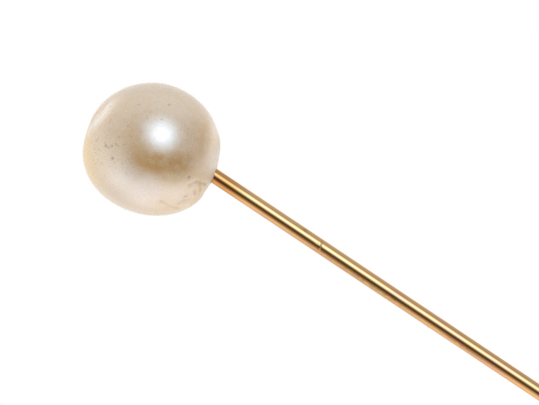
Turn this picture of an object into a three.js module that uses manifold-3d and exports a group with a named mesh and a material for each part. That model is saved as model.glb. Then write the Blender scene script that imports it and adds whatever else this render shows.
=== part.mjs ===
// A hat pin with a pearl head, in millimetres.
//
// A slightly uneven pearl, drilled part of the way through, is cemented onto a gilt wire stem.
// The stem is made in two lengths, brazed end to end on a slant a little way below the pearl,
// and its lower length is drawn out to a sharp point.
//
// The stem lies along Z with the pearl at the top and the point at the bottom.
// The origin is on the stem's axis where the stem leaves the pearl, the place a hat comes up to.
import * as THREE from 'three';
import { mergeVertices } from 'three/addons/utils/BufferGeometryUtils.js';
import Module from 'manifold-3d';

// Driving dimensions.
const OVERALL_LENGTH = 127;
const STEM_DIAMETER = 1.1;
const PEARL_DIAMETER = 10.2;
const PEARL_OFFSET = 0.93; // the pearl's centre stands this far to one side of the stem, towards -X
const NACRE_THICKNESS = 0.5; // of the skin, where the pearl is a true ball
const CLEARANCE = 0.03; // between pieces that are cemented or brazed face to face

// The drilled hole and the end of the stem that is cemented into it.
const HOLE_DIAMETER = 1.34;
const HOLE_DEPTH = 6.2;
const FULL_WIDTH_ENTRY = 1; // the stem goes in this far before it narrows to the peg
const PEG_DIAMETER = 0.8;
const PEG_END = 5.7;
const GROOVE_COUNT = 5; // round the peg, for the cement to key into
const GROOVE_DEPTH = 0.09;
const GROOVE_WIDTH = 0.34;
const CEMENT_PROUD = 0.08; // the cement squeezed out stands this far off the pearl

// The brazed seam and the point.
const SEAM_DEPTH = 9.4; // below the pearl
const SEAM_SLANT = 0.3; // rise of the seam across the wire, in mm for each mm
const SEAM_THICKNESS = 0.1;
const SEAM_RECESS = 0.02; // the brazing metal sits this far inside the wire's surface
const POINT_LENGTH = 15; // of the tapered end
const POINT_STEPS = 7;
const TIP_RADIUS = 0.035;

// How finely the round shapes are faceted.
const WIRE_SIDES = 24;
const PEARL_DETAIL = 8;
const CORE_DETAIL = 5;
const WELD = 1e-4; // vertices closer than this are one vertex

const STEM_RADIUS = STEM_DIAMETER / 2;
const PEG_RADIUS = PEG_DIAMETER / 2;
const HOLE_RADIUS = HOLE_DIAMETER / 2;
const PEARL_RADIUS = PEARL_DIAMETER / 2;
const CAVITY_RADIUS = PEARL_RADIUS - NACRE_THICKNESS;

// Where the pearl departs from a true ball. Each place is a direction from its centre, how far
// the skin stands out there (or is sunk, if negative), and how wide the swelling is, in radians.
const SWELLINGS = [
  { towards: [-0.75, 0, 0.66], height: 0.10, spread: 0.36 },
  { towards: [-0.34, 0, 0.94], height: -0.2, spread: 0.14 },
  { towards: [-0.15, 0, 0.99], height: -0.08, spread: 0.3 },
  { towards: [0.59, 0, 0.81], height: -0.09, spread: 0.3 },
  { towards: [0.97, 0, 0.24], height: -0.09, spread: 0.5 },
  { towards: [0.75, 0, -0.66], height: 0.06, spread: 0.4 },
  { towards: [0.4, 0, -0.92], height: -0.09, spread: 0.12 },
  { towards: [-0.3, 0, -0.95], height: 0.12, spread: 0.34 },
  { towards: [-0.97, 0, -0.24], height: -0.16, spread: 0.42 },
  { towards: [0.2, 0.95, 0.2], height: -0.08, spread: 0.5 },
  { towards: [-0.4, 0.7, -0.6], height: 0.07, spread: 0.4 },
].map((s) => ({ ...s, towards: new THREE.Vector3(...s.towards).normalize() }));

const wasm = await Module();
wasm.setup();

const gilt = new THREE.MeshStandardMaterial({ color: 0xd6a754, roughness: 0.2, metalness: 1 });
const brazingMetal = new THREE.MeshStandardMaterial({ color: 0xc79a5b, roughness: 0.4, metalness: 1 });
const nacre = new THREE.MeshStandardMaterial({ color: 0xd9cbb2, roughness: 0.3, metalness: 0.1 });
const shellBead = new THREE.MeshStandardMaterial({ color: 0xe9e2d3, roughness: 0.5 });
const agedCement = new THREE.MeshStandardMaterial({ color: 0xa8854f, roughness: 0.7 });

// A closed geometry as a manifold-3d solid.
function solidFrom(geometry) {
  const bare = new THREE.BufferGeometry();
  bare.setAttribute('position', geometry.getAttribute('position'));
  bare.setIndex(geometry.getIndex());
  const welded = mergeVertices(bare, WELD);
  const vertProperties = welded.getAttribute('position').array;
  const triVerts = new Uint32Array(welded.getIndex().array);
  return new wasm.Manifold(new wasm.Mesh({ numProp: 3, vertProperties, triVerts }));
}

// A manifold-3d solid as a geometry.
function geometryFrom(solid) {
  const { vertProperties, triVerts } = solid.getMesh();
  const geometry = new THREE.BufferGeometry();
  geometry.setAttribute('position', new THREE.BufferAttribute(vertProperties, 3));
  geometry.setIndex(new THREE.BufferAttribute(triVerts, 1));
  return geometry;
}

// A solid of revolution about Z. The profile is a list of [radius, height], from the bottom up.
function turned(profile) {
  const points = profile.map(([radius, height]) => new THREE.Vector2(radius, height));
  return new THREE.LatheGeometry(points, WIRE_SIDES).rotateX(Math.PI / 2);
}

// Slants every vertex at one height, so that a flat end there becomes an oblique one.
function slantEnd(geometry, height) {
  const position = geometry.getAttribute('position');
  for (let i = 0; i < position.count; i++) {
    if (Math.abs(position.getZ(i) - height) < WELD) {
      position.setZ(i, height + SEAM_SLANT * position.getX(i));
    }
  }
  return geometry;
}

// How far the pearl's skin is from its centre in a direction, a unit vector.
function pearlRadius(direction) {
  return SWELLINGS.reduce((radius, { towards, height, spread }) => {
    const away = direction.angleTo(towards) / spread;
    return radius + height * Math.exp(-0.5 * away * away);
  }, PEARL_RADIUS);
}

// The pearl's centre: the skin meets the stem's axis at the origin.
function pearlCentre() {
  const seat = new THREE.Vector3(PEARL_OFFSET, 0, -Math.sqrt(PEARL_RADIUS ** 2 - PEARL_OFFSET ** 2));
  const reach = pearlRadius(seat.normalize());
  return new THREE.Vector3(-PEARL_OFFSET, 0, Math.sqrt(reach ** 2 - PEARL_OFFSET ** 2));
}

// The uneven ball of the pearl, its skin grown outwards by some distance, about its own centre.
function unevenBall(growth = 0) {
  const ball = new THREE.IcosahedronGeometry(1, PEARL_DETAIL);
  const position = ball.getAttribute('position');
  const vertex = new THREE.Vector3();
  for (let i = 0; i < position.count; i++) {
    vertex.fromBufferAttribute(position, i).normalize();
    vertex.multiplyScalar(pearlRadius(vertex) + growth);
    position.setXYZ(i, vertex.x, vertex.y, vertex.z);
  }
  return ball;
}

const centre = pearlCentre();
const placed = (geometry) => geometry.translate(centre.x, centre.y, centre.z);

// The hole drilled up into the pearl, run out well below its mouth.
function drill() {
  return turned([
    [0, -HOLE_RADIUS * 2],
    [HOLE_RADIUS, -HOLE_RADIUS * 2],
    [HOLE_RADIUS, HOLE_DEPTH],
    [0, HOLE_DEPTH],
  ]);
}

// The nacre skin: the uneven ball, hollow for its core and open at the drilled hole.
function nacreSkin() {
  const cavity = placed(new THREE.IcosahedronGeometry(CAVITY_RADIUS, CORE_DETAIL));
  return geometryFrom(
    solidFrom(placed(unevenBall())).subtract(solidFrom(cavity)).subtract(solidFrom(drill())),
  );
}

// The round bead that the nacre was laid down on, drilled with it.
function beadCore() {
  const bead = placed(new THREE.IcosahedronGeometry(CAVITY_RADIUS - CLEARANCE, CORE_DETAIL));
  return geometryFrom(solidFrom(bead).subtract(solidFrom(drill())));
}

// The cement: a closed sleeve that fills the hole round the stem and the peg, with a collar
// squeezed out at the mouth, which follows the pearl's surface.
function cement() {
  const outside = HOLE_RADIUS - CLEARANCE;
  const sleeve = turned([
    [STEM_RADIUS + CLEARANCE, -HOLE_RADIUS],
    [outside, -HOLE_RADIUS],
    [outside, HOLE_DEPTH - CLEARANCE],
    [0, HOLE_DEPTH - CLEARANCE],
    [0, PEG_END + CLEARANCE],
    [PEG_RADIUS + CLEARANCE, PEG_END + CLEARANCE],
    [PEG_RADIUS + CLEARANCE, FULL_WIDTH_ENTRY + CLEARANCE],
    [STEM_RADIUS + CLEARANCE, FULL_WIDTH_ENTRY + CLEARANCE],
    [STEM_RADIUS + CLEARANCE, -HOLE_RADIUS],
  ]);
  return geometryFrom(solidFrom(sleeve).intersect(solidFrom(placed(unevenBall(CEMENT_PROUD)))));
}

// One groove round the peg: in, along its floor and out again.
function groove(middle) {
  const floor = PEG_RADIUS - GROOVE_DEPTH;
  return [
    [PEG_RADIUS, middle - GROOVE_WIDTH / 2],
    [floor, middle - GROOVE_WIDTH / 4],
    [floor, middle + GROOVE_WIDTH / 4],
    [PEG_RADIUS, middle + GROOVE_WIDTH / 2],
  ];
}

// The upper length of the stem, with the grooved peg turned on the end that goes into the pearl.
function upperStem() {
  const pitch = (PEG_END - FULL_WIDTH_ENTRY) / (GROOVE_COUNT + 1);
  const grooves = Array.from({ length: GROOVE_COUNT }, (_, i) =>
    groove(FULL_WIDTH_ENTRY + pitch * (i + 1)),
  );
  const stem = turned([
    [0, -SEAM_DEPTH],
    [STEM_RADIUS, -SEAM_DEPTH],
    [STEM_RADIUS, FULL_WIDTH_ENTRY],
    [PEG_RADIUS, FULL_WIDTH_ENTRY],
    ...grooves.flat(),
    [PEG_RADIUS, PEG_END],
    [0, PEG_END],
  ]);
  return slantEnd(stem, -SEAM_DEPTH);
}

// The film of brazing metal between the two lengths of wire.
function brazedSeam() {
  const top = -SEAM_DEPTH - CLEARANCE;
  const bottom = top - SEAM_THICKNESS;
  const radius = STEM_RADIUS - SEAM_RECESS;
  const film = turned([
    [0, bottom],
    [radius, bottom],
    [radius, top],
    [0, top],
  ]);
  return slantEnd(slantEnd(film, top), bottom);
}

// The wire's radius along the tapered end, from 0 at the tip to 1 where the taper starts.
function taperRadius(share) {
  return TIP_RADIUS + (STEM_RADIUS - TIP_RADIUS) * Math.sin((share * Math.PI) / 2) ** 0.8;
}

// The lower length of the stem, drawn out to a point.
function pinWire() {
  const top = -SEAM_DEPTH - SEAM_THICKNESS - 2 * CLEARANCE;
  const crown = centre.z + pearlRadius(new THREE.Vector3(0, 0, 1));
  const tip = crown - OVERALL_LENGTH;
  const taper = Array.from({ length: POINT_STEPS }, (_, i) => {
    const share = (i / (POINT_STEPS - 1)) ** 1.5;
    return [taperRadius(share), tip + TIP_RADIUS + share * (POINT_LENGTH - TIP_RADIUS)];
  });
  return slantEnd(turned([[0, tip], ...taper, [STEM_RADIUS, top], [0, top]]), top);
}

const hatPin = new THREE.Group();

function add(name, geometry, material) {
  const mesh = new THREE.Mesh(geometry, material);
  mesh.name = name;
  hatPin.add(mesh);
}

add('pearl_nacre', nacreSkin(), nacre);
add('pearl_core', beadCore(), shellBead);
add('pearl_cement', cement(), agedCement);
add('upper_stem', upperStem(), gilt);
add('brazed_seam', brazedSeam(), brazingMetal);
add('pin_wire', pinWire(), gilt);

export default hatPin;
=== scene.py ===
"""The looks of a pearl-headed hat pin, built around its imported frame. All shapes here are in mm."""
import math

import bpy
import numpy as np
from mathutils import Matrix, Vector, noise


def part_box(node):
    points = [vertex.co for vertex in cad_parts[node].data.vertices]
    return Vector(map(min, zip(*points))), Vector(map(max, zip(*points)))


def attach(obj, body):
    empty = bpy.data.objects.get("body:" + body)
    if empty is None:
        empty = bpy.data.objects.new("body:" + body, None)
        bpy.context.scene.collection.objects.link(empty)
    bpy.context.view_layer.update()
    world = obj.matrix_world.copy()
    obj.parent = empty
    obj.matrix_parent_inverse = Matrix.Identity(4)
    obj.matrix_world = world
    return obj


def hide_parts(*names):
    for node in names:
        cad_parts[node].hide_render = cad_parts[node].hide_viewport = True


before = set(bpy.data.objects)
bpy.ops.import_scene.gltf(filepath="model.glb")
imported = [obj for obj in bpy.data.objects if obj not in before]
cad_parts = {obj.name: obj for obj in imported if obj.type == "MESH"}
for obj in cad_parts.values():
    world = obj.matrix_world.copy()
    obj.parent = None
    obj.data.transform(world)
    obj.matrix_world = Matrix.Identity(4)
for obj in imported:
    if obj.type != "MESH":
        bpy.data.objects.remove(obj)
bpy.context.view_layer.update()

MM = 0.001


def box_mm(node):
    """The lowest and highest corners of a CAD node, in mm."""
    low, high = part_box(node)
    return low / MM, high / MM


# ---- Sizes, from the frame. Z runs along the stem, and the origin is where the stem leaves the pearl.

BEAD_LOW, BEAD_HIGH = box_mm("pearl_core")
CEMENT_HIGH = box_mm("pearl_cement")[1]
STEM_HIGH = box_mm("upper_stem")[1]
SEAM_LOW, SEAM_HIGH = box_mm("brazed_seam")
WIRE_LOW, WIRE_HIGH = box_mm("pin_wire")

# Sizes that the frame's boxes don't show, repeated from the part.
GAP = 0.03  # left free between pieces that are cemented or brazed together
NACRE_THICKNESS = 0.5
PEG_RADIUS = 0.4
FULL_WIDTH_ENTRY = 1.0  # the stem narrows to the peg this far into the pearl
GROOVE_COUNT = 5
GROOVE_DEPTH = 0.09
GROOVE_WIDTH = 0.34
POINT_LENGTH = 15.0
TIP_RADIUS = 0.035
SEAM_THICKNESS = 0.1

CENTRE = (BEAD_LOW + BEAD_HIGH) / 2  # of the pearl
BEAD_RADIUS = (BEAD_HIGH.y - BEAD_LOW.y) / 2
BALL_RADIUS = BEAD_RADIUS + GAP + NACRE_THICKNESS
HOLE_RADIUS = CEMENT_HIGH.y + GAP
HOLE_END = CEMENT_HIGH.z + GAP
STEM_RADIUS = WIRE_HIGH.y
PEG_END = STEM_HIGH.z
SEAM_MIDDLE = (SEAM_LOW.z + SEAM_HIGH.z) / 2
SEAM_SLANT = (SEAM_HIGH.z - SEAM_LOW.z - SEAM_THICKNESS) / (SEAM_HIGH.x - SEAM_LOW.x)
TIP = WIRE_LOW.z

# ---- The camera: the pin seen square on, with the stem running down to the right.

STEM_TILT = math.radians(33.69)  # of the stem below the horizontal in the picture
VIEW_WIDTH = 40.26  # mm of the pin's plane that the picture spans
LENS = 100.0
SENSOR = 36.0
RIGHT = Vector((math.sin(STEM_TILT), 0, -math.cos(STEM_TILT)))
UP = Vector((math.cos(STEM_TILT), 0, math.sin(STEM_TILT)))
TOWARDS = Vector((0, -1, 0))  # from the pin to the camera
LOOK_AT = CENTRE + 8.81 * RIGHT - 4.0 * UP  # the middle of the picture
EYE = LOOK_AT + VIEW_WIDTH * LENS / SENSOR * TOWARDS


def add_camera():
    """A long lens, square on to the pin's plane."""
    camera = bpy.data.objects.new("camera", bpy.data.cameras.new("camera"))
    camera.data.lens = LENS
    camera.data.sensor_width = SENSOR
    camera.data.clip_start = 0.005
    turn = Matrix((RIGHT, UP, TOWARDS)).transposed().to_4x4()
    camera.matrix_world = Matrix.Translation(EYE * MM) @ turn
    bpy.context.collection.objects.link(camera)
    bpy.context.scene.camera = camera


def facing(right, up):
    """The direction from the pearl's centre to a place on its near side.

    The place is given by how far right and up of the centre the camera sees it, in shares of the radius.
    """
    sight = (CENTRE + BALL_RADIUS * (right * RIGHT + up * UP) - EYE).normalized()
    closest = EYE + sight.dot(CENTRE - EYE) * sight - CENTRE
    nearer = math.sqrt(max(0.0, BALL_RADIUS**2 - closest.length_squared))
    return (closest - nearer * sight).normalized()


# ---- Node helpers.

class Shader:
    """A material or world under construction, with short names for the nodes it needs."""

    def __init__(self, owner):
        owner.use_nodes = True
        self.tree = owner.node_tree
        self.tree.nodes.clear()

    def node(self, kind, inputs=None, **settings):
        """A new node, with its inputs fed by values or by other nodes."""
        made = self.tree.nodes.new(kind)
        for name, value in settings.items():
            setattr(made, name, value)
        for name, value in (inputs or {}).items():
            self.feed(made.inputs[name], value)
        return made

    def feed(self, socket, value):
        """Links a node's output to a socket, or sets a plain value on it."""
        if isinstance(value, bpy.types.NodeSocket):
            self.tree.links.new(value, socket)
        elif socket.type == "RGBA" and len(value) == 3:
            socket.default_value = (*value, 1.0)
        else:
            socket.default_value = value

    def maths(self, operation, a, b=0.0):
        return self.node("ShaderNodeMath", {0: a, 1: b}, operation=operation).outputs[0]

    def span(self, value, low, high, to_low=0.0, to_high=1.0):
        """The value moved from one range to another, with soft ends."""
        inputs = {"Value": value, "From Min": low, "From Max": high, "To Min": to_low, "To Max": to_high}
        return self.node("ShaderNodeMapRange", inputs, interpolation_type="SMOOTHSTEP").outputs[0]

    def mix(self, amount, a, b):
        """A colour between a, at an amount of 0, and b, at an amount of 1."""
        made = self.node("ShaderNodeMix", data_type="RGBA")
        self.feed(made.inputs[0], amount)
        self.feed(made.inputs[6], a)
        self.feed(made.inputs[7], b)
        return made.outputs[2]

    def noise(self, where, scale, detail=3.0, roughness=0.5):
        inputs = {"Vector": where, "Scale": scale, "Detail": detail, "Roughness": roughness}
        return self.node("ShaderNodeTexNoise", inputs).outputs["Fac"]

    def dots(self, where, scale, size):
        """Small round spots, 1 in their middles, of a size that is a share of their spacing."""
        inputs = {"Vector": where, "Scale": scale}
        distance = self.node("ShaderNodeTexVoronoi", inputs).outputs["Distance"]
        return self.span(distance, size, size * 0.4)

    def vector(self, operation, a, b):
        return self.node("ShaderNodeVectorMath", {0: a, 1: b}, operation=operation).outputs[0]

    def dot(self, a, b):
        return self.node("ShaderNodeVectorMath", {0: a, 1: b}, operation="DOT_PRODUCT").outputs["Value"]

    def within(self, direction, towards, inner, outer):
        """1 within an angle of a fixed direction, fading to 0 at a wider one, in degrees."""
        angle = self.maths("ARCCOSINE", self.dot(direction, list(towards)))
        return self.span(angle, math.radians(outer), math.radians(inner))

    def millimetres(self, stretch=(1, 1, 1)):
        """The place on the object in mm, or in mm divided by the stretch."""
        place = self.node("ShaderNodeTexCoord").outputs["Object"]
        return self.vector("MULTIPLY", place, [1 / (MM * s) for s in stretch])

    def bump(self, height, depth, normal=None):
        """A normal for a height of 0 to 1 that stands for a depth in mm."""
        inputs = {"Height": height, "Strength": 1.0, "Distance": depth * MM}
        if normal is not None:
            inputs["Normal"] = normal
        return self.node("ShaderNodeBump", inputs).outputs[0]

    def finish(self, inputs):
        """Ends the material with a Principled shader that has these inputs."""
        shader = self.node("ShaderNodeBsdfPrincipled", inputs)
        out = self.node("ShaderNodeOutputMaterial")
        self.tree.links.new(shader.outputs[0], out.inputs["Surface"])


# ---- Mesh helpers.

def around(count):
    """Angles round the stem, from +X towards +Y."""
    return np.linspace(0, 2 * math.pi, count, endpoint=False)


def add_piece(name, node, material, rings, marks=None):
    """Lays a skin over rings of points in mm, each the same length. A ring of one point closes an end."""
    starts = np.cumsum([0] + [len(ring) for ring in rings])
    faces = []
    for here, there, ring, following in zip(starts, starts[1:], rings, rings[1:]):
        count = max(len(ring), len(following))
        for i in range(count):
            j = (i + 1) % count
            if len(ring) == 1:
                faces.append((here, there + j, there + i))
            elif len(following) == 1:
                faces.append((here + i, here + j, there))
            else:
                faces.append((here + i, here + j, there + j, there + i))
    mesh = bpy.data.meshes.new(name)
    mesh.from_pydata((np.vstack(rings) * MM).tolist(), [], faces)
    mesh.polygons.foreach_set("use_smooth", [True] * len(mesh.polygons))
    mesh.materials.append(material)
    if marks is not None:
        attribute = mesh.attributes.new("marks", "FLOAT_COLOR", "POINT")
        attribute.data.foreach_set("color", marks.astype(np.float32).ravel())
    piece = bpy.data.objects.new(name, mesh)
    bpy.context.collection.objects.link(piece)
    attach(piece, "root")
    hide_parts(node)


def unit(vectors):
    """The vectors, each brought to a length of 1."""
    return vectors / np.linalg.norm(vectors, axis=-1, keepdims=True)


def smooth(values):
    """Values clipped to 0 to 1 and eased at both ends."""
    share = np.clip(values, 0, 1)
    return share * share * (3 - 2 * share)


def rumple(points, scale, seed):
    """Soft noise from -1 to 1 at points in mm, whose lumps are about scale mm across."""
    shift = Vector((seed * 17.3, seed * -9.1, seed * 5.7))
    return np.array([noise.noise(Vector(p) / scale + shift) for p in points])


# ---- The pearl's shape.

# Its soft swellings: a direction from the centre, how far the skin stands out, and the width in radians.
SWELLINGS = [
    ((-0.75, 0, 0.66), 0.10, 0.36),
    ((-0.34, 0, 0.94), -0.2, 0.14),
    ((-0.15, 0, 0.99), -0.08, 0.3),
    ((0.59, 0, 0.81), -0.09, 0.3),
    ((0.97, 0, 0.24), -0.09, 0.5),
    ((0.75, 0, -0.66), 0.06, 0.4),
    ((0.4, 0, -0.92), -0.09, 0.12),
    ((-0.3, 0, -0.95), 0.12, 0.34),
    ((-0.97, 0, -0.24), -0.16, 0.42),
    ((0.2, 0.95, 0.2), -0.08, 0.5),
    ((-0.4, 0.7, -0.6), 0.07, 0.4),
]

# The marks on the near side. Their places are given as facing() takes them.

# A shallow flat on the shoulder: where it is, and how far its plane is from the centre.
FLAT = facing(-0.745, 0.535)
FLAT_DISTANCE = 5.02
FLAT_EDGE = 0.02  # how far its edge is rounded off
FLAT_FADE = 0.07  # how deep it must cut for its mark to be full

# Cracks and ridges, each through a few places on the near side: the width and depth in mm, and
# the strength of the mark.
GROWTH_LINES = [
    ([(0.56, -0.525), (0.60, -0.50), (0.65, -0.475), (0.71, -0.495), (0.79, -0.515)], 0.14, 0.016, 1.0),
    ([(0.70, -0.51), (0.71, -0.57), (0.70, -0.62), (0.68, -0.66)], 0.15, 0.012, 1.0),
    ([(0.62, -0.61), (0.63, -0.66)], 0.14, 0.012, 1.0),
    ([(0.53, -0.67), (0.48, -0.70)], 0.12, 0.012, 1.0),
    ([(0.53, -0.73), (0.47, -0.75), (0.40, -0.79)], 0.16, 0.010, 0.85),
    ([(0.13, -0.77), (0.19, -0.80), (0.25, -0.84), (0.32, -0.85), (0.40, -0.87)], 0.13, 0.008, 0.7),
]
RAGGEDNESS = 0.07  # how far their edges wander, in mm

# The line along which the skin is wrinkled.
PEELING = [(0.76, -0.52), (0.68, -0.62), (0.56, -0.72), (0.44, -0.83), (0.28, -0.85), (0.15, -0.78)]
PEELING_REACH = 0.32  # to each side, in radians
WRINKLE_DEPTH = 0.03

# A pale strip along the flat, a painted reflection of bright surroundings, and a dark line along its far
# edge.
PAINTED_GLINT_STRIP = [(-0.63, 0.63), (-0.72, 0.515), (-0.79, 0.43), (-0.83, 0.37), (-0.885, 0.315), (-0.92, 0.25)]
STRIP_WIDTH = 0.36
FLAT_LINE = [(-0.645, 0.68), (-0.72, 0.607), (-0.79, 0.543), (-0.835, 0.50), (-0.88, 0.43)]
FLAT_LINE_WIDTH = 0.17

# Pits: a place on the near side and the width in mm.
PITS = [
    ((-0.67, 0.05), 0.12),
    ((-0.63, 0.02), 0.08),
    ((-0.58, 0.04), 0.09),
    ((-0.52, 0.07), 0.07),
    ((-0.57, -0.135), 0.12),
    ((0.55, -0.41), 0.13),
    ((0.50, -0.69), 0.08),
    ((0.15, 0.44), 0.08),
    ((0.26, 0.65), 0.08),
    ((-0.19, 0.65), 0.06),
    ((0.27, -0.21), 0.08),
    ((-0.61, 0.63), 0.08),
]
PIT_DEPTH = 0.1  # as a share of the width

# Chips in the rim of the drilled hole: X and Y of the middle, the reach along each, and the depth, in mm.
CHIPS = [
    (-1.15, 0.0, 0.60, 1.25, 0.11),
    (-0.50, -0.62, 0.12, 0.12, 0.05),
    (0.35, -0.70, 0.10, 0.10, 0.04),
    (0.62, 0.45, 0.15, 0.15, 0.06),
]


def angle_to(directions, towards):
    """The angle from each direction to one direction, in radians."""
    return np.arccos(np.clip(directions @ np.array(towards), -1, 1))


def line_distance(directions, places):
    """The angle from each direction to a line through places on the near side."""
    points = [np.array(facing(*place)) for place in places]
    nearest = np.full(len(directions), np.inf)
    for start, end in zip(points, points[1:]):
        along = np.clip((directions - start) @ (end - start) / ((end - start) @ (end - start)), 0, 1)
        closest = start + along[:, None] * (end - start)
        nearest = np.minimum(nearest, np.linalg.norm(directions - closest, axis=1))
    return nearest


def ball_height(directions):
    """How far the skin is from the centre along unit directions, with its swellings only."""
    height = np.full(len(directions), BALL_RADIUS)
    for towards, rise, spread in SWELLINGS:
        away = angle_to(directions, Vector(towards).normalized()) / spread
        height += rise * np.exp(-0.5 * away * away)
    return height


def growth_lines(directions):
    """How far the cracks and ridges sink the skin, and their marks."""
    raggedness = RAGGEDNESS * rumple(directions * BALL_RADIUS, 0.35, 6)
    sunk = np.zeros(len(directions))
    mark = np.zeros(len(directions))
    for places, width, depth, strength in GROWTH_LINES:
        away = np.maximum(0, line_distance(directions, places) * BALL_RADIUS + raggedness)
        crease = np.exp(-((away / width) ** 2))
        sunk += depth * crease
        mark = np.maximum(mark, crease * strength)
    return sunk, mark


def pits(directions):
    """How far the pits sink the skin, and their marks."""
    sunk = np.zeros(len(directions))
    mark = np.zeros(len(directions))
    for place, width in PITS:
        dip = np.exp(-((angle_to(directions, facing(*place)) * BALL_RADIUS / width) ** 2))
        sunk += PIT_DEPTH * width * dip
        mark = np.maximum(mark, dip)
    return sunk, mark


def chips(directions, height):
    """How far the chips by the drilled hole sink the skin, and their marks."""
    seat = directions * height[:, None] + np.array(CENTRE)
    sunk = np.zeros(len(directions))
    mark = np.zeros(len(directions))
    for x, y, reach_x, reach_y, depth in CHIPS:
        away = np.hypot((seat[:, 0] - x) / reach_x, (seat[:, 1] - y) / reach_y)
        chip = np.where(seat[:, 2] < CENTRE.z, np.exp(-(away**4)), 0.0)
        sunk += depth * chip
        mark = np.maximum(mark, chip)
    return sunk, mark


def line_mark(directions, places, width):
    """1 on a line through places on the near side, fading out over a width in mm."""
    return np.exp(-((line_distance(directions, places) * BALL_RADIUS / width) ** 2))


def pearl_skin(directions):
    """The distance to the skin along unit directions, in full detail, and the marks for its material."""
    points = directions * BALL_RADIUS
    height = ball_height(directions)
    height += 0.012 * rumple(points, 2.2, 1) + 0.004 * rumple(points, 0.9, 2)

    plane = FLAT_DISTANCE / np.maximum(directions @ np.array(FLAT), 0.2)
    flat = smooth((height - plane) / FLAT_FADE)
    height = np.minimum(height, plane) - FLAT_EDGE * np.exp(-np.abs(height - plane) / FLAT_EDGE) / 2
    # The flat's mark, with the strip along it, carries a painted reflection in the material.
    flat = np.maximum(0.35 * flat, line_mark(directions, PAINTED_GLINT_STRIP, STRIP_WIDTH))

    crease_depth, line = growth_lines(directions)
    pit_depth, pit = pits(directions)
    height -= crease_depth + pit_depth
    chip_depth, chip = chips(directions, height)
    height -= chip_depth
    pit = np.maximum(pit, 0.4 * line_mark(directions, FLAT_LINE, FLAT_LINE_WIDTH))
    # The chips share the pits' mark, which darkens them as painted shade.
    pit = np.maximum(pit, 0.5 * chip)

    wrinkled = smooth(1 - line_distance(directions, PEELING) / PEELING_REACH)
    wrinkles = np.abs(rumple(points * np.array([1, 1, 0.5]), 0.45, 3))
    height -= WRINKLE_DEPTH * wrinkled * wrinkles
    return height, np.stack([line, pit, wrinkled, flat], axis=1)


# ---- The pieces.

PEARL_SIDES = 360


def hole_edge(radius, ball):
    """Unit directions, from the pearl's centre, to where the drilled hole meets a ball about it."""
    angles = around(PEARL_SIDES)
    x, y = radius * np.cos(angles), radius * np.sin(angles)
    z = CENTRE.z - np.sqrt(ball**2 - (x - CENTRE.x) ** 2 - y**2)
    return unit(np.stack([x, y, z], axis=1) - np.array(CENTRE))


def meridians(edge, count, crowding):
    """Rings of directions from the hole's edge to the far side of the pearl, crowded towards the hole."""
    far = np.array(CENTRE.normalized())
    reach = angle_to(edge, far)[:, None]
    for step in range(1, count):
        share = (step / count) ** crowding
        yield (np.sin((1 - share) * reach) * edge + np.sin(share * reach) * far) / np.sin(reach)


def circle(radius, heights, count=PEARL_SIDES):
    """A ring of points round the stem's axis. The heights are one number or one for each point."""
    angles = around(count)
    z = np.broadcast_to(heights, angles.shape)
    return np.stack([radius * np.cos(angles), radius * np.sin(angles), z], axis=1)


def on_ball(directions, height):
    """Points a distance from the pearl's centre along unit directions."""
    return np.array(CENTRE) + directions * np.reshape(height, (-1, 1))


def add_nacre(material):
    """The grown skin. Its rings run over the cavity, out through the hole and round the outside."""
    centre = np.array(CENTRE)
    far = np.array(CENTRE.normalized())[None, :]
    cavity = BEAD_RADIUS + GAP
    inner_edge = hole_edge(HOLE_RADIUS, cavity)
    inner = [on_ball(ring, cavity) for ring in meridians(inner_edge, 40, 1.0)][::-1]
    inner = [on_ball(far, cavity)] + inner + [on_ball(inner_edge, cavity)]

    mouth = hole_edge(HOLE_RADIUS + 0.05, BALL_RADIUS)
    outer_directions = [mouth] + list(meridians(mouth, 280, 1.25)) + [far]
    everywhere = np.vstack(outer_directions)
    height, outer_marks = pearl_skin(everywhere)
    outer_points = centre + everywhere * height[:, None]
    breaks = np.cumsum([len(ring) for ring in outer_directions])[:-1]
    outer = np.split(outer_points, breaks)

    lip = outer[0]
    wall = inner[-1]
    throat = [wall + (lip - wall) * share for share in (0.25, 0.5, 0.75)]
    throat = [circle(HOLE_RADIUS, ring[:, 2]) for ring in throat]
    bevel = circle(HOLE_RADIUS + 0.008, lip[:, 2] + 0.03)
    hidden = inner + throat + [bevel]
    hidden_marks = np.zeros((sum(len(ring) for ring in hidden), 4))
    marks = np.vstack([hidden_marks, outer_marks])
    add_piece("nacre_skin", "pearl_nacre", material, hidden + outer, marks)


def add_bead(material):
    """The drilled shell bead inside the nacre."""
    far = np.array(CENTRE.normalized())[None, :]
    edge = hole_edge(HOLE_RADIUS, BEAD_RADIUS)
    mouth = on_ball(edge, BEAD_RADIUS)
    rings = [np.array([[0, 0, HOLE_END]]), circle(HOLE_RADIUS * 0.5, HOLE_END + 0.02)]
    for share in (0.0, 0.33, 0.66):
        rings.append(circle(HOLE_RADIUS, HOLE_END - 0.05 + (mouth[:, 2] - HOLE_END) * share))
    rings += [mouth]
    rings += [on_ball(ring, BEAD_RADIUS) for ring in meridians(edge, 60, 1.0)]
    rings += [on_ball(far, BEAD_RADIUS)]
    add_piece("shell_bead", "pearl_core", material, rings)


WIRE_SIDES = 120
VISUAL_GAP = 0.004  # left between the brazed pieces where they show
SLANT_REACH = 2.0  # the wire's rings lean with the seam up to this far from it
FINE_END = -32.0  # the stem's rings are close together down to here
FINE_STEP = 0.09
POINT_STEPS = 120

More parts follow.
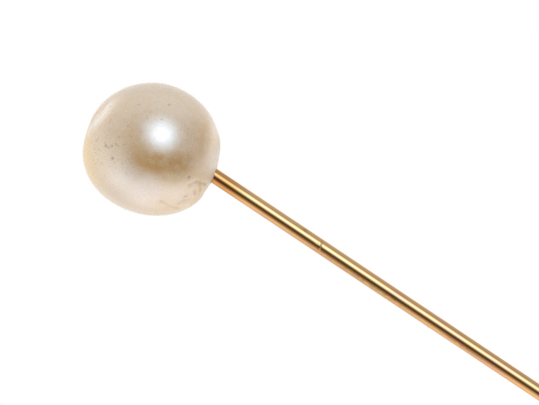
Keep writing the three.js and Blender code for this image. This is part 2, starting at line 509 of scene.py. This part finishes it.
# Nicks in the stem's near side: X and Z of the middle, the reach along each, and the depth, in mm.
# A negative depth is a burr that stands out.
NICKS = [
    (-0.25, -7.0, 0.22, 0.03, 0.006),
    (0.40, -7.95, 0.10, 0.10, 0.008),
    (0.08, -9.15, 0.06, 0.08, 0.012),
    (-0.22, -15.4, 0.10, 0.12, 0.006),
    (-0.16, -16.2, 0.09, 0.16, 0.006),
    (-0.52, -19.5, 0.12, 0.07, -0.03),
    (-0.28, -25.2, 0.14, 0.04, 0.006),
]

# Dull patches on the stem's near side: X and Z of the middle, and how far it reaches along each, in mm.
DULL_PATCHES = [
    (-0.30, -13.0, 0.22, 5.5),
    (-0.14, -15.8, 0.12, 1.2),
    (0.38, -7.9, 0.10, 0.25),
    (-0.30, -22.5, 0.12, 2.5),
]


def lathe(profile):
    """Rings round the stem's axis through a profile of radius and height. A radius of 0 is one point."""
    return [np.array([[0, 0, z]]) if r == 0 else circle(r, z, WIRE_SIDES) for r, z in profile]


def slant(rings, height):
    """Slants the rings near a height, less and less further away from it."""
    for ring in rings:
        near = smooth(1 - np.abs(ring[:, 2] - height) / SLANT_REACH)
        ring[:, 2] += near * SEAM_SLANT * ring[:, 0]
    return rings


def stem_patch(points, x, z, across, along):
    """1 at a place on the stem's near side, fading out over a reach across and along the stem."""
    away = ((points[:, 0] - x) / across) ** 2 + ((points[:, 2] - z) / along) ** 2
    return np.where(points[:, 1] < 0, np.exp(-away), 0.0)


def wear_stem(rings):
    """Gives the skin of a stem its nicks and faint waves, and returns the marks for its material."""
    breaks = np.cumsum([len(ring) for ring in rings])[:-1]
    points = np.vstack(rings)
    out = points * np.array([1, 1, 0]) / STEM_RADIUS
    skin = smooth((np.hypot(points[:, 0], points[:, 1]) - PEG_RADIUS) / (STEM_RADIUS - PEG_RADIUS))
    rise = 0.0012 * rumple(points * np.array([1, 1, 0.2]), 0.6, 4)
    nicked = np.zeros(len(points))
    for x, z, across, along, depth in NICKS:
        nick = stem_patch(points, x, z, across, along)
        rise -= depth * nick
        nicked = np.maximum(nicked, nick * (depth > 0))
    dull = np.zeros(len(points))
    for patch in DULL_PATCHES:
        dull = np.maximum(dull, stem_patch(points, *patch))
    points = points + out * (skin * rise)[:, None]
    nothing = np.zeros(len(points))
    return np.split(points, breaks), np.stack([dull, nicked, nothing, nothing], axis=1)


def steps_along(start, end):
    """Heights down the stem, close together on the stretch nearest the pearl."""
    fine_end = max(end, FINE_END)
    heights = list(np.linspace(start, fine_end, round((start - fine_end) / FINE_STEP)))
    if end < FINE_END:
        heights += list(np.linspace(FINE_END, end, 140))[1:]
    return heights


def add_upper_stem(material):
    """The stem's short upper length, with its narrow grooved peg, from the peg's end down to the seam."""
    bottom = SEAM_MIDDLE + SEAM_THICKNESS / 2 + VISUAL_GAP
    profile = [(0, PEG_END), (PEG_RADIUS - 0.05, PEG_END), (PEG_RADIUS, PEG_END - 0.05)]
    groove_heights = np.linspace(PEG_END - 0.7, FULL_WIDTH_ENTRY + 0.7, GROOVE_COUNT)
    for middle in groove_heights:
        for share in np.linspace(-1, 1, 9):
            depth = GROOVE_DEPTH * math.cos(share * math.pi / 2) ** 2
            profile.append((PEG_RADIUS - depth, middle - share * GROOVE_WIDTH / 2))
    profile += [(PEG_RADIUS, FULL_WIDTH_ENTRY + 0.02), (PEG_RADIUS + 0.01, FULL_WIDTH_ENTRY)]
    profile += [(STEM_RADIUS - 0.02, FULL_WIDTH_ENTRY)]
    profile += [(STEM_RADIUS, z) for z in steps_along(FULL_WIDTH_ENTRY - 0.03, bottom + 0.03)]
    profile += [(STEM_RADIUS - 0.001, bottom + 0.008), (STEM_RADIUS - 0.006, bottom), (0, bottom)]
    rings, marks = wear_stem(slant(lathe(profile[::-1]), bottom))
    add_piece("gilt_upper_stem", "upper_stem", material, rings, marks)


def add_seam(material):
    """The thin film of brazing metal between the two lengths of stem."""
    top = SEAM_MIDDLE + SEAM_THICKNESS / 2
    bottom = SEAM_MIDDLE - SEAM_THICKNESS / 2
    edge = STEM_RADIUS - 0.006
    profile = [(0, bottom), (edge - 0.01, bottom), (edge, bottom + 0.01), (edge, top - 0.01)]
    profile += [(edge - 0.01, top), (0, top)]
    rings = lathe(profile)
    for ring in rings:
        ring[:, 2] += SEAM_SLANT * ring[:, 0]
    add_piece("braze_film", "brazed_seam", material, rings)


def add_pin_wire(material):
    """The long lower length of the stem, from the seam down to its ground point."""
    top = SEAM_MIDDLE - SEAM_THICKNESS / 2 - VISUAL_GAP
    taper_top = TIP + POINT_LENGTH
    profile = [(0, TIP), (0.02, TIP + 0.01)]
    for step in range(1, POINT_STEPS):
        share = (step / POINT_STEPS) ** 1.5
        radius = TIP_RADIUS + (STEM_RADIUS - TIP_RADIUS) * math.sin(share * math.pi / 2) ** 0.8
        profile.append((radius, TIP + TIP_RADIUS + share * (POINT_LENGTH - TIP_RADIUS)))
    profile += [(STEM_RADIUS, z) for z in steps_along(top - 0.03, taper_top)[::-1]]
    profile += [(STEM_RADIUS - 0.001, top - 0.008), (STEM_RADIUS - 0.006, top), (0, top)]
    rings, marks = wear_stem(slant(lathe(profile), top))
    add_piece("gilt_pin_wire", "pin_wire", material, rings, marks)


def add_cement(material):
    """The sleeve of cement round the stem and its peg, with a small collar at the mouth of the hole."""
    outside = HOLE_RADIUS - GAP
    inside = STEM_RADIUS + 0.015
    edge = hole_edge(HOLE_RADIUS, BALL_RADIUS)
    mouth_height = on_ball(edge, BALL_RADIUS)[:, 2]
    slumps = 0.02 * rumple(circle(outside, 0.0), 0.3, 5)
    rings = [np.array([[0, 0, CEMENT_HIGH.z]]), circle(outside - 0.03, CEMENT_HIGH.z)]
    rings += [circle(outside, CEMENT_HIGH.z - 0.03), circle(outside, 2.0)]
    rings += [circle(outside, mouth_height + 0.1), circle(outside, mouth_height + 0.06 + slumps)]
    rings += [circle(outside - 0.03, mouth_height + 0.03 + slumps)]
    rings += [circle(inside + 0.02, mouth_height + slumps), circle(inside, mouth_height + 0.02)]
    rings += [circle(inside, FULL_WIDTH_ENTRY + 0.02), circle(PEG_RADIUS + 0.02, FULL_WIDTH_ENTRY + 0.05)]
    rings += [circle(PEG_RADIUS + 0.02, PEG_END), circle(PEG_RADIUS - 0.03, PEG_END + 0.02)]
    rings += [np.array([[0, 0, PEG_END + 0.02]])]
    add_piece("cement_sleeve", "pearl_cement", material, rings)


# ---- Materials.

BODY_COLOUR = (0.88, 0.595, 0.28)
BODY_ROSE = (0.91, 0.62, 0.34)
FLECK = (0.93, 0.76, 0.56)
PEELING_PEACH = (0.99, 0.73, 0.39)
LINE_BROWN = (0.58, 0.33, 0.12)
GRAIN_BROWN = (0.62, 0.38, 0.16)
SPECK_AND_PIT_SHADE_BROWN = (0.26, 0.12, 0.02)
PAINTED_GLINT_PINK = (0.98, 0.90, 0.82)

# Tints of the nacre, partly its own colour and partly painted light: the bronze zones in the dark crescent
# below the highlight paint a reflection of dark surroundings, and the pale zones, the one round the hole
# among them, partly paint brighter light and reflections. Where each is, the angles in degrees out to which
# it is full and at which it ends, its strength and its colour.
NACRE_TINTS_AND_PAINTED_LIGHT = [
    (facing(-0.97, -0.15), 6, 38, 1.0, (0.95, 0.62, 0.17)),
    (facing(-0.60, 0.25), 6, 26, 0.4, (0.86, 0.60, 0.28)),
    (facing(-0.45, -0.88), 8, 30, 0.7, (0.98, 0.78, 0.48)),
    (facing(0.30, -0.94), 4, 20, 0.4, (0.95, 0.66, 0.32)),
    (facing(0.24, -0.74), 5, 20, 0.7, (0.98, 0.80, 0.62)),
    (facing(0.80, 0.22), 6, 25, 0.95, (0.84, 0.49, 0.14)),
    # Bronze in the dark crescent below the highlight, this and the next two: partly painted reflection of
    # the dark surroundings.
    (facing(0.42, -0.20), 3, 16, 0.9, (0.80, 0.47, 0.19)),
    (facing(0.10, -0.18), 4, 18, 0.9, (0.84, 0.49, 0.165)),
    (facing(-0.15, -0.12), 4, 16, 0.5, (0.88, 0.58, 0.24)),
    (facing(-0.08, -0.66), 7, 26, 0.9, (0.95, 0.82, 0.74)),
    # Bronze in the dark crescent: partly painted reflection of the dark surroundings.
    (facing(0.30, -0.46), 3, 16, 0.6, (0.84, 0.57, 0.22)),
    (facing(-0.42, -0.38), 5, 20, 0.9, (0.98, 0.88, 0.76)),
    (facing(-0.50, -0.10), 5, 20, 0.6, (0.96, 0.76, 0.50)),
    (facing(0.12, 0.72), 10, 40, 0.5, (0.82, 0.62, 0.37)),
    (facing(0.30, 0.36), 12, 36, 0.7, (0.90, 0.70, 0.47)),
    (facing(0.93, -0.22), 6, 24, 0.8, (0.97, 0.88, 0.78)),
    # Pale round the hole: painted light over the stem's shade and reflection on the pearl.
    (-CENTRE, 15, 34, 0.85, (0.97, 0.87, 0.74)),
    (Vector((-0.5, 0.8, 0.3)), 8, 40, 0.6, (0.92, 0.66, 0.42)),
    (Vector((0.6, 0.75, -0.3)), 6, 30, 0.6, (0.84, 0.55, 0.26)),
    (Vector((0.1, 0.6, 0.8)), 6, 26, 0.7, (0.95, 0.80, 0.70)),
]
SPECKLED_SIDE = facing(-0.80, -0.05)
RIM_WEAR_START = 0.8  # how far from the drilled hole the wear round it begins and is full, in radians
RIM_WEAR_FULL = 0.42


def nacre_material():
    """Cream nacre with a soft lustre. The mesh's marks say where it is cracked, pitted, wrinkled or pale.
    The pale strip along the flat is a painted reflection, the pits and chips are darkened with painted
    shade, and the tints are partly painted reflection and light.
    """
    material = bpy.data.materials.new("nacre")
    s = Shader(material)
    place = s.millimetres()
    from_centre = s.vector("SUBTRACT", place, list(CENTRE))
    direction = s.node("ShaderNodeVectorMath", {0: from_centre}, operation="NORMALIZE").outputs[0]

    marks = s.node("ShaderNodeAttribute", attribute_name="marks")
    parts = s.node("ShaderNodeSeparateColor", {"Color": marks.outputs["Color"]})
    line, pit, wrinkled = parts.outputs[0], parts.outputs[1], parts.outputs[2]
    flat = marks.outputs["Alpha"]

    clouds = s.noise(place, 0.30, detail=2.0)
    mottle = s.noise(place, 2.2, detail=3.0, roughness=0.55)
    grain = s.noise(place, 7.0, detail=2.0)

    colour = s.mix(s.span(clouds, 0.35, 0.65), BODY_COLOUR, BODY_ROSE)
    # Lays on the tints, with painted reflections and painted light among them.
    for towards, inner, outer, strength, tone_and_light in NACRE_TINTS_AND_PAINTED_LIGHT:
        zone = s.within(direction, towards.normalized(), inner, outer)
        colour = s.mix(s.maths("MULTIPLY", zone, strength), colour, tone_and_light)
    colour = s.mix(s.span(mottle, 0.35, 0.75, 0.0, 0.5), colour, FLECK)
    colour = s.mix(s.span(grain, 0.5, 0.2, 0.0, 0.42), colour, GRAIN_BROWN)
    colour = s.mix(s.maths("MULTIPLY", wrinkled, s.span(mottle, 0.37, 0.57)), colour, PEELING_PEACH)
    # Pale along the flat and its strip: a painted reflection.
    colour = s.mix(s.maths("MULTIPLY", flat, s.span(mottle, 0.3, 0.6, 0.5, 1.0)), colour, PAINTED_GLINT_PINK)

    speckled = s.within(direction, SPECKLED_SIDE, 8, 48)
    speckled = s.maths("MAXIMUM", speckled, s.span(clouds, 0.5, 0.65, 0.0, 0.5))
    speckled = s.maths("MULTIPLY", speckled, s.span(mottle, 0.6, 0.42))
    specks = s.maths("MULTIPLY", s.dots(place, 3.1, 0.28), speckled)
    colour = s.mix(s.maths("MULTIPLY", specks, 0.75), colour, SPECK_AND_PIT_SHADE_BROWN)
    colour = s.mix(s.maths("MULTIPLY", line, s.span(mottle, 0.35, 0.6, 0.4, 0.9)), colour, LINE_BROWN)
    # The pits and chips are darkened: painted shade in them.
    colour = s.mix(s.maths("MULTIPLY", pit, 0.6), colour, SPECK_AND_PIT_SHADE_BROWN)

    rim_distance = s.maths("ARCCOSINE", s.dot(direction, list(-CENTRE.normalized())))
    rim_wear = s.span(rim_distance, RIM_WEAR_START, RIM_WEAR_FULL)
    broken = s.maths("MAXIMUM", s.maths("MULTIPLY", wrinkled, 0.5), s.maths("MULTIPLY", line, 0.7))
    broken = s.maths("MAXIMUM", broken, pit)
    worn = s.maths("MAXIMUM", broken, rim_wear)
    rough = s.span(mottle, 0.3, 0.7, 0.22, 0.29)
    rough = s.maths("ADD", rough, s.maths("MULTIPLY", worn, 0.3))
    rough = s.maths("SUBTRACT", rough, s.maths("MULTIPLY", flat, 0.08))
    soft_bump = s.bump(mottle, 0.006)
    # The pits and chips, as painted shade, and half the specks' own dark colour, are made partly metallic so
    # that they barely shine.
    pit_shade_and_specks = s.maths("MAXIMUM", pit, s.maths("MULTIPLY", specks, 0.5))
    s.finish({
        "Base Color": colour,
        "Metallic": s.maths("MULTIPLY", pit_shade_and_specks, 0.6),
        "Roughness": rough,
        "IOR": 2.3,
        "Specular IOR Level": 1.0,
        "Coat Weight": s.span(worn, 0.0, 1.0, 1.0, 0.0),
        "Coat Roughness": 0.2,
        "Coat IOR": 1.8,
        "Normal": s.bump(grain, 0.0015, soft_bump),
    })
    return material


GILT = (0.80, 0.46, 0.20)
GILT_ROSE = (0.78, 0.42, 0.225)
GILT_OLIVE = (0.76, 0.47, 0.205)
GILT_DEEP = (0.66, 0.315, 0.10)
TARNISH = (0.42, 0.26, 0.12)


def gilt_material():
    """Polished gilding, unevenly coloured, with fine draw lines, dull patches and tarnish in its nicks."""
    material = bpy.data.materials.new("gilt")
    s = Shader(material)
    place = s.millimetres()
    height = s.node("ShaderNodeSeparateXYZ", {0: place}).outputs["Z"]
    streaks = s.noise(s.millimetres((0.12, 0.12, 5.0)), 1.0, detail=2.0)
    patches = s.noise(s.millimetres((1, 1, 3)), 1.0, detail=2.0)
    blotches = s.noise(place, 3.5, detail=4.0, roughness=0.6)
    marks = s.node("ShaderNodeAttribute", attribute_name="marks")
    parts = s.node("ShaderNodeSeparateColor", {"Color": marks.outputs["Color"]})
    dull, nicked = parts.outputs[0], parts.outputs[1]

    colour = s.mix(s.span(patches, 0.5, 0.68), GILT, GILT_ROSE)
    colour = s.mix(s.span(patches, 0.5, 0.32), colour, GILT_OLIVE)
    colour = s.mix(s.span(height, -3.4, -1.0, 0.0, 0.9), colour, GILT_DEEP)
    tarnish = s.maths("MULTIPLY", dull, s.span(blotches, 0.3, 0.6, 0.35, 0.8))
    tarnish = s.maths("MAXIMUM", tarnish, s.span(blotches, 0.64, 0.8, 0.0, 0.4))
    tarnish = s.maths("MAXIMUM", tarnish, s.maths("MULTIPLY", nicked, 0.6))
    colour = s.mix(tarnish, colour, TARNISH)
    rough = s.span(streaks, 0.3, 0.7, 0.13, 0.19)
    rough = s.maths("ADD", rough, s.maths("MULTIPLY", tarnish, 0.15))
    s.finish({
        "Base Color": colour,
        "Metallic": 1.0,
        "Roughness": rough,
        "Normal": s.bump(streaks, 0.0003),
    })
    return material


def braze_material():
    """Brazing metal, duller and redder than the gilding."""
    material = bpy.data.materials.new("brazing_metal")
    s = Shader(material)
    grain = s.noise(s.millimetres(), 8.0, detail=3.0)
    s.finish({
        "Base Color": s.mix(s.span(grain, 0.3, 0.7), (0.72, 0.42, 0.18), (0.85, 0.55, 0.26)),
        "Metallic": 1.0,
        "Roughness": s.span(grain, 0.3, 0.7, 0.25, 0.45),
        "Normal": s.bump(grain, 0.006),
    })
    return material


def bead_material():
    """Mother-of-pearl in thin layers."""
    material = bpy.data.materials.new("shell_bead")
    s = Shader(material)
    layers = s.noise(s.millimetres((4, 4, 0.4)), 1.0, detail=3.0)
    s.finish({
        "Base Color": s.mix(layers, (0.80, 0.75, 0.66), (0.92, 0.90, 0.86)),
        "Roughness": s.span(layers, 0.2, 0.8, 0.35, 0.6),
        "Normal": s.bump(layers, 0.005),
    })
    return material


def cement_material():
    """Old brown jeweller's cement."""
    material = bpy.data.materials.new("aged_cement")
    s = Shader(material)
    grain = s.noise(s.millimetres(), 5.0, detail=5.0)
    s.finish({
        "Base Color": s.mix(s.span(grain, 0.3, 0.7), (0.38, 0.25, 0.14), (0.60, 0.45, 0.28)),
        "Roughness": 0.75,
        "Normal": s.bump(grain, 0.02),
    })
    return material


# ---- The studio.

def from_view(right, up, towards):
    """A direction given by how far it points to the right, up and towards the camera."""
    return (right * RIGHT + up * UP + towards * TOWARDS).normalized()


KEY_DIRECTION = from_view(0.34, 0.39, 0.855)
GLOW_DIRECTION = from_view(0.365, 0.40, 0.84)
BACK_DIRECTION = from_view(-0.2, 0.3, -0.93)
LAMP_DISTANCE = 0.6  # from the pearl, in metres
LAMP_SIZE = 0.24  # in metres
KEY_RADIANCE = 11.0
BACK_RADIANCE = 3.5
KEY_GLOW = (1.2, 1.7, 2.2)  # round the key light, in reflections only
KEY_HEART = (2.05, 2.45, 3.1)
FLOOR_HALF = 1.0  # half the floor's width, in metres
FLOOR_DROP = 0.5  # below the pin's point, in mm

REST_OF_WORLD = (0.66, 0.68, 0.70)  # its light where no zone reaches

# The soft zones of the world, each laid over the ones before, tuned for the reflections they make:
# how far each points right, up and towards the camera's side, the angles in degrees out to which it
# is full and at which it ends, and its light.
SOFT_ZONES = [
    ((-0.15, -0.93, -0.32), 40, 122, (1.20, 1.16, 1.12)),
    ((-0.1, -0.3, -0.95), 35, 80, (0.84, 0.85, 0.86)),
    ((-0.7, -0.1, -0.7), 8, 42, (1.08, 0.98, 0.83)),
    ((0.1, -0.68, -0.7), 8, 36, (1.0, 0.92, 0.82)),
    ((-0.05, 0.05, -1.0), 8, 23, (1.35, 1.38, 1.4)),
    ((0.62, -0.25, -0.74), 10, 42, (1.45, 1.42, 1.36)),
    ((-0.71, 0.55, -0.44), 8, 26, (1.12, 1.09, 1.06)),
    ((0.05, -0.99, -0.12), 10, 48, (1.26, 1.18, 1.11)),
    ((0.95, 0.10, 0.27), 16, 60, (0.37, 0.365, 0.36)),
    ((0.0, 0.0, 1.0), 5, 95, (0.20, 0.18, 0.16)),
]

# Dark surroundings below the camera: how far right and up each part lies, how dark it is, and its
# colour. Each part is full out to one angle and ends at another, in degrees.
BAND_BROWN = (0.10, 0.06, 0.02)
BAND_GREY = (0.40, 0.37, 0.30)
DARK_BAND = [
    (0.35, -0.66, 0.6, BAND_GREY),
    (0.66, -0.62, 0.8, BAND_GREY),
    (0.83, -0.52, 0.8, BAND_GREY),
    (-0.40, -0.60, 0.35, BAND_BROWN),
    (-0.42, -0.20, 0.5, BAND_BROWN),
    (-0.22, -0.34, 0.8, BAND_BROWN),
    (0.06, -0.42, 1.0, BAND_BROWN),
    (0.34, -0.46, 1.0, BAND_BROWN),
    (0.62, -0.44, 1.0, BAND_BROWN),
    (0.85, -0.33, 0.6, BAND_BROWN),
]
BAND_INNER = 4
BAND_OUTER = 25


def add_studio():
    """Soft light from all round, brighter below and dimmer by the camera, with the glow of the key light."""
    world = bpy.data.worlds.new("studio")
    bpy.context.scene.world = world
    s = Shader(world)
    direction = s.node("ShaderNodeTexCoord").outputs["Generated"]
    path = s.node("ShaderNodeLightPath")

    light = REST_OF_WORLD
    for towards, inner, outer, colour in SOFT_ZONES:
        light = s.mix(s.within(direction, from_view(*towards), inner, outer), light, colour)
    glow = s.within(direction, GLOW_DIRECTION, 9, 40)
    light = s.mix(s.maths("MULTIPLY", glow, path.outputs["Is Glossy Ray"]), light, KEY_GLOW)
    for right, up, darkness, colour in DARK_BAND:
        towards = from_view(right, up, math.sqrt(1 - right * right - up * up))
        dark = s.within(direction, towards, BAND_INNER, BAND_OUTER)
        light = s.mix(s.maths("MULTIPLY", dark, darkness), light, colour)
    heart = s.within(direction, KEY_DIRECTION, 4, 21)
    light = s.mix(s.maths("MULTIPLY", heart, path.outputs["Is Glossy Ray"]), light, KEY_HEART)

    lit = s.node("ShaderNodeBackground", {"Color": light, "Strength": 1.0})
    seen = s.node("ShaderNodeBackground", {"Color": (1, 1, 1), "Strength": 1.0})
    inputs = {0: path.outputs["Is Camera Ray"], 1: lit.outputs[0], 2: seen.outputs[0]}
    both = s.node("ShaderNodeMixShader", inputs)
    out = s.node("ShaderNodeOutputWorld")
    s.tree.links.new(both.outputs[0], out.inputs["Surface"])


def add_lamp(name, towards, radiance):
    """A soft lamp, hidden from reflections, which show the world's zones instead."""
    light = bpy.data.lights.new(name, "AREA")
    light.shape = "DISK"
    light.size = LAMP_SIZE
    light.energy = radiance * math.pi * math.pi * (LAMP_SIZE / 2) ** 2
    lamp = bpy.data.objects.new(name, light)
    lamp.location = CENTRE * MM + towards * LAMP_DISTANCE
    lamp.rotation_euler = towards.to_track_quat("Z", "Y").to_euler()
    lamp.visible_camera = False
    lamp.visible_glossy = False
    bpy.context.collection.objects.link(lamp)


def add_floor():
    """A pale floor that the camera sees, and that reflections and bounced light pass by."""
    material = bpy.data.materials.new("floor")
    s = Shader(material)
    s.finish({
        "Base Color": (0.35, 0.35, 0.35),
        "Roughness": 0.9,
        "Specular IOR Level": 0.0,
        "Emission Color": (1, 1, 1),
        "Emission Strength": 0.76,
    })
    mesh = bpy.data.meshes.new("floor")
    height = (TIP - FLOOR_DROP) * MM
    sides = [(-1, -1), (1, -1), (1, 1), (-1, 1)]
    corners = [(x * FLOOR_HALF, y * FLOOR_HALF, height) for x, y in sides]
    mesh.from_pydata(corners, [], [(0, 1, 2, 3)])
    mesh.materials.append(material)
    floor = bpy.data.objects.new("floor", mesh)
    bpy.context.collection.objects.link(floor)
    floor.visible_glossy = False
    floor.visible_diffuse = False


add_camera()
add_studio()
add_lamp("key", KEY_DIRECTION, KEY_RADIANCE)
add_lamp("back", BACK_DIRECTION, BACK_RADIANCE)
add_floor()

gilt = gilt_material()
add_nacre(nacre_material())
add_bead(bead_material())
add_cement(cement_material())
add_upper_stem(gilt)
add_seam(braze_material())
add_pin_wire(gilt)

bpy.context.scene.view_settings.view_transform = "Standard"
